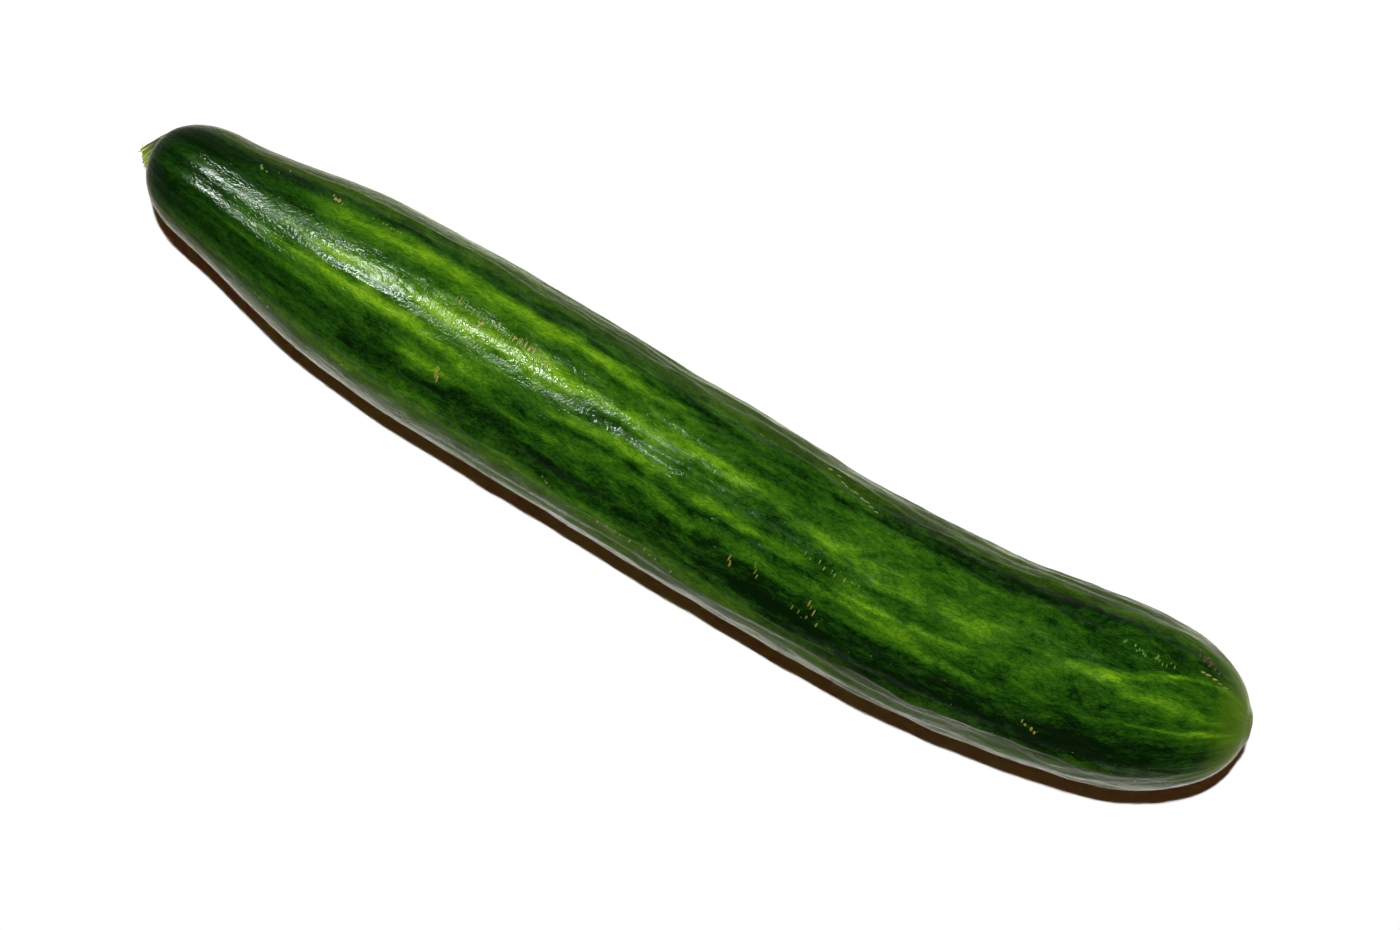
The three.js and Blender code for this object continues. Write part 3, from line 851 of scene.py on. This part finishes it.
# The stalk end of the fruit's centre line.
pole_place = {"side": 0, "up": BODY_RADIUS - FLAT_DEPTH}
for axis, start, towards, bend in BENDS:
    if towards < 0:
        pole_place[axis] += start ** 2 / (2 * bend)
pole = Vector((0, pole_place["side"], pole_place["up"]))
stalk_points = []
stalk_grain = []
for row in range(STALK_ROWS + 1):
    share = row / STALK_ROWS
    left = 1 - share
    middle = STALK_ROOT * left ** 2 + STALK_BEND * 2 * share * left + STALK_TIP * share ** 2
    ahead_way = ((STALK_BEND - STALK_ROOT) * left + (STALK_TIP - STALK_BEND) * share).normalized()
    across_way = Vector((-ahead_way.y, ahead_way.x, 0)).normalized()
    up_way = ahead_way.cross(across_way)
    for side in range(STALK_SIDES):
        turn = 2 * math.pi * side / STALK_SIDES
        up_share = math.cos(turn)
        side_share = math.sin(turn)
        thick = STALK_RADIUS + STALK_FLARE * left ** 2 + STALK_RIB_HEIGHT * math.cos(STALK_RIBS * turn)
        round_place = Vector((0, up_share, side_share))
        rough_place = Vector((share * STALK_WAVES[0], 0, 0)) + round_place * STALK_WAVES[1]
        thick += STALK_ROUGHNESS * noise.noise(rough_place)
        torn = share * (STALK_SLANT * side_share + STALK_RAGGED * math.sin(3 * turn))
        tear = noise.noise(Vector((TEAR_SEED, 0, 0)) + round_place * TEAR_WAVES)
        torn += share ** TEAR_FADE * TEAR_HEIGHT * tear
        way = up_way * up_share + across_way * side_share
        stalk_points.append((pole + middle + way * thick + ahead_way * torn) * MM + into_place)
        stalk_grain.append((share * STALK_LENGTH, thick * up_share, thick * side_share))
stalk_faces = []
for row in range(STALK_ROWS):
    for side in range(STALK_SIDES):
        here = row * STALK_SIDES + side
        beside = row * STALK_SIDES + (side + 1) % STALK_SIDES
        stalk_faces.append((here, here + STALK_SIDES, beside + STALK_SIDES, beside))

# Both ends close on rings that shrink to the middle; the torn end is sunk like a pithy stub.
CAP_RINGS = 12
CAP_SINK = 0.6
CAP_ROUGHNESS = 0.25
CAP_GRAIN = 900
CAP_PITH = 4
for start, sign in ((0, -1), (STALK_ROWS * STALK_SIDES, 1)):
    ring = [stalk_points[start + side] for side in range(STALK_SIDES)]
    heart = sum(ring, Vector()) / STALK_SIDES
    last = list(range(start, start + STALK_SIDES))
    sink = CAP_SINK * MM if sign > 0 else 0
    for step in range(1, CAP_RINGS):
        share = step / CAP_RINGS
        swell = sign * CAP_ROUGHNESS * MM * math.sin(math.pi * share)
        new = []
        for side in range(STALK_SIDES):
            point_in = ring[side].lerp(heart, share)
            rough = noise.noise(point_in * CAP_GRAIN) * swell
            new.append(len(stalk_points))
            stalk_points.append(point_in + ahead_way * (rough - sink * share))
            stalk_grain.append((STALK_LENGTH + CAP_PITH * share, 0, side / STALK_SIDES))
        for side in range(STALK_SIDES):
            after = (side + 1) % STALK_SIDES
            quad = (last[side], new[side], new[after], last[after])
            stalk_faces.append(quad if sign > 0 else quad[::-1])
        last = new
    stalk_points.append(heart - ahead_way * sink)
    stalk_grain.append((STALK_LENGTH + CAP_PITH, 0, 0))
    for side in range(STALK_SIDES):
        after = (side + 1) % STALK_SIDES
        tri = (last[side], len(stalk_points) - 1, last[after])
        stalk_faces.append(tri if sign > 0 else tri[::-1])


def laid_out(name, points, faces, grain):
    """Makes a smooth mesh object whose points carry their place in the stalk's grain."""
    mesh = bpy.data.meshes.new(name)
    mesh.from_pydata(points, [], faces)
    mesh.polygons.foreach_set("use_smooth", [True] * len(mesh.polygons))
    layer = mesh.attributes.new("grain", "FLOAT_VECTOR", "POINT")
    layer.data.foreach_set("vector", [value for place in grain for value in place])
    return add_object(name, mesh)


stalk_stub = laid_out("stalk_stub", stalk_points, stalk_faces, stalk_grain)

# Green stalk: olive and yellow-green fibres side by side. Its tone rises along it, with painted shade by
# the neck and a painted highlight at the torn end, which the torn face and the torn fibres share.
FIBRE_WAVES = (0.22, 1.7, 1.7)
FIBRE_CONTRAST = 2.3
FIBRE_BASE = -0.72
TIP_STRETCH = (STALK_LENGTH * 0.6, STALK_LENGTH * 1.02)
TIP_PAINTED_LIGHT_TONES = (-0.2, 0.2)
FIBRE_RELIEF = 0.35
FIBRES = ((0.12, "#222c0a"), (0.35, "#3f5214"), (0.6, "#7d9026"), (0.95, "#b6cc50"))
stalk_finish, fibre_shader = new_finish("green_fibrous_stalk")
fibre = stalk_finish.node_tree
runs = node(fibre, ATTRIBUTE, attribute_name="grain").outputs["Vector"]
fibre_lines = node(fibre, VECTOR_MATH, runs, FIBRE_WAVES, operation="MULTIPLY")
fibre_lines = node(fibre, NOISE, fibre_lines, None, 1, 4, 0.6)
painted_light_to_tip = node(fibre, SEPARATE, runs)
painted_light_to_tip = node(fibre, MAP_RANGE, painted_light_to_tip, *TIP_STRETCH, *TIP_PAINTED_LIGHT_TONES)
fibre_tone = node(fibre, MATH, fibre_lines, FIBRE_CONTRAST, FIBRE_BASE, operation="MULTIPLY_ADD")
fibre_tone = node(fibre, MATH, fibre_tone, painted_light_to_tip, operation="ADD")
dress(fibre, fibre_tone, FIBRES, fibre_lines, FIBRE_RELIEF, 1)
fibre_shader.inputs["Roughness"].default_value = 0.55
fibre_shader.inputs["IOR"].default_value = 1.3
stalk_stub.data.materials.append(stalk_finish)
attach(stalk_stub, "root")
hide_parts("stalk")

# Torn fibres: strands of the stalk that pulled out as it was torn from the vine. They grow out of
# the torn end, one long pale whisker above and short stubs round the rim.
FIBRE_SIDES = 10
FIBRE_STEPS = 12
FIBRE_DEPTH = 0.5
FIBRE_INSET = 0.4
FIBRE_CURL = 0.35
FIBRE_CURL_TURN = 2.1
FIBRE_FLATNESS = 0.6
FIBRE_TAPER = 0.6
FIBRE_ROUGHNESS = 0.25
FIBRE_KNOTS = 4
THINNEST = 0.02

# Where each starts round the stalk in degrees, length, thickness, lean outwards in degrees.
TORN_FIBRES = (
    (-86, 2.3, 0.36, 108),
    (-62, 1.0, 0.6, 12),
    (-15, 0.6, 0.7, 8),
    (25, 0.7, 0.7, -6),
    (64, 0.8, 0.7, 10),
    (112, 0.8, 0.6, 14),
    (150, 0.6, 0.6, 0),
    (-105, 0.7, 0.6, 6),
    (-140, 0.6, 0.6, -5),
)
tip_ahead = (STALK_TIP - STALK_BEND).normalized()
tip_across = Vector((-tip_ahead.y, tip_ahead.x, 0)).normalized()
tip_up = tip_ahead.cross(tip_across)
fibre_points = []
fibre_faces = []
fibre_grain = []
for number, (turn_degrees, length, thickness, lean_degrees) in enumerate(TORN_FIBRES):
    turn = math.radians(turn_degrees)
    lean = math.radians(lean_degrees)
    outwards = tip_up * math.cos(turn) + tip_across * math.sin(turn)
    rim_height = STALK_SLANT * math.sin(turn) + STALK_RAGGED * math.sin(3 * turn)
    start = pole + STALK_TIP + outwards * (STALK_RADIUS - FIBRE_INSET)
    start += tip_ahead * (rim_height - FIBRE_DEPTH)
    way = tip_ahead * math.cos(lean) + outwards * math.sin(lean)
    beside = way.cross(outwards).normalized()
    over = way.cross(beside)
    first = len(fibre_points)
    for step in range(FIBRE_STEPS + 1):
        share = step / FIBRE_STEPS
        curl = outwards * FIBRE_CURL * share ** 2 * length * math.sin(number * FIBRE_CURL_TURN)
        middle = start + way * (length + FIBRE_DEPTH) * share + curl
        thick = thickness / 2 * (1 - share) ** FIBRE_TAPER
        thick *= 1 + FIBRE_ROUGHNESS * noise.noise(Vector((number, FIBRE_KNOTS * share, 0)))
        for side in range(FIBRE_SIDES):
            side_turn = 2 * math.pi * side / FIBRE_SIDES
            reach = beside * math.cos(side_turn) + over * FIBRE_FLATNESS * math.sin(side_turn)
            fibre_points.append((middle + reach * max(thick, THINNEST)) * MM + into_place)
            # Their grain lies past the stalk's torn end, so the fibres take its painted highlight tone.
            fibre_grain.append((STALK_LENGTH * 1.1 + share, number, 0.2 * side))
    for step in range(FIBRE_STEPS):
        for side in range(FIBRE_SIDES):
            here = first + step * FIBRE_SIDES + side
            after = first + step * FIBRE_SIDES + (side + 1) % FIBRE_SIDES
            fibre_faces.append((here, after, after + FIBRE_SIDES, here + FIBRE_SIDES))
    tip_ring = first + FIBRE_STEPS * FIBRE_SIDES
    fibre_faces.append(tuple(first + side for side in reversed(range(FIBRE_SIDES))))
    fibre_faces.append(tuple(tip_ring + side for side in range(FIBRE_SIDES)))
torn_fibres = laid_out("torn_fibres", fibre_points, fibre_faces, fibre_grain)
torn_fibres.data.materials.append(stalk_finish)
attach(torn_fibres, "root")

# Table: a plain white surface of matt paper, wide enough that its edge is never seen. It is lit so
# strongly that only the fruit's shadow shows on it.
TABLE_SIZE = 40
half = TABLE_SIZE / 2
table_mesh = bpy.data.meshes.new("white_table")
table_corners = [(-half, -half, 0), (half, -half, 0), (half, half, 0), (-half, half, 0)]
table_mesh.from_pydata(table_corners, [], [(0, 1, 2, 3)])
table = add_object("white_table", table_mesh)
table_finish, paper = new_finish("matt_white_paper")
paper.inputs["Base Color"].default_value = colour("#f1f1f1")
paper.inputs["Roughness"].default_value = 0.9
paper.inputs["Specular IOR Level"].default_value = 0
table_mesh.materials.append(table_finish)

# Camera: straight above, turned so that the fruit runs down to the right. The frame's width is
# measured at the height of the fruit's widest part.
FRAME_WIDTH = 0.3412
CAMERA_HEIGHT = 0.9
FOCUS_HEIGHT = 0.024
PICTURE_MIDDLE = Vector((0.00424, 0.0033, 0))
FRUIT_SLOPE = math.radians(29.23)
camera_data = bpy.data.cameras.new("camera")
camera_data.sensor_width = 36
camera_data.lens = camera_data.sensor_width * (CAMERA_HEIGHT - FOCUS_HEIGHT) / FRAME_WIDTH
camera_data.clip_start = 0.05
camera = add_object("camera", camera_data)
camera.location = PICTURE_MIDDLE + Vector((0, 0, CAMERA_HEIGHT))
camera.rotation_euler = (0, 0, FRUIT_SLOPE)
bpy.context.scene.camera = camera

# Lights: a small lamp just up the picture from straight above throws the narrow shadow, and a long
# soft box further up gives the neck its glints. The pale room shows at the horizon alone.
KEY_TILT = math.radians(8.8)
KEY_DISTANCE = 1.3
image_up = Vector((-math.sin(FRUIT_SLOPE), math.cos(FRUIT_SLOPE), 0))
towards_key = Vector((0, 0, math.cos(KEY_TILT))) + image_up * math.sin(KEY_TILT)
key_data = bpy.data.lights.new("key", "POINT")
key_data.energy = 83
key_data.shadow_soft_size = 0.016
key = add_object("key", key_data)
key.location = PICTURE_MIDDLE + towards_key * KEY_DISTANCE
key.visible_glossy = False
BOX_PLACE = Vector((-0.32, 0.28, 0.9))
box_data = bpy.data.lights.new("glint_box", "AREA")
box_data.shape = "RECTANGLE"
box_data.size = 0.44
box_data.size_y = 0.13
box_data.energy = 90
box_data.color = (0.93, 1.0, 0.98)
glint_box = add_object("glint_box", box_data)
glint_box.location = BOX_PLACE
glint_box.rotation_euler = (-math.atan2(BOX_PLACE.y, BOX_PLACE.z), 0, 0)
glint_box.visible_diffuse = False

HORIZON_LIGHT = (0.96, 1.0, 0.8, 1)
OVERHEAD_LIGHT = (0.05, 0.009, 0.002, 1)
HORIZON_TOP = 0.11
world = bpy.data.worlds.new("pale_room")
bpy.context.scene.world = world
world.use_nodes = True
room = world.node_tree
looks_at = node(room, SEPARATE, node(room, "ShaderNodeTexCoord").outputs["Generated"])
height_share = node(room, MAP_RANGE, looks_at.outputs[2], 0.0, HORIZON_TOP, 0, 1, **SMOOTH)
room_light = node(room, "ShaderNodeMix", height_share, at={6: HORIZON_LIGHT, 7: OVERHEAD_LIGHT},
                  data_type="RGBA")
room.links.new(room_light.outputs[2], room.nodes["Background"].inputs["Color"])
bpy.context.scene.view_settings.view_transform = "Standard"
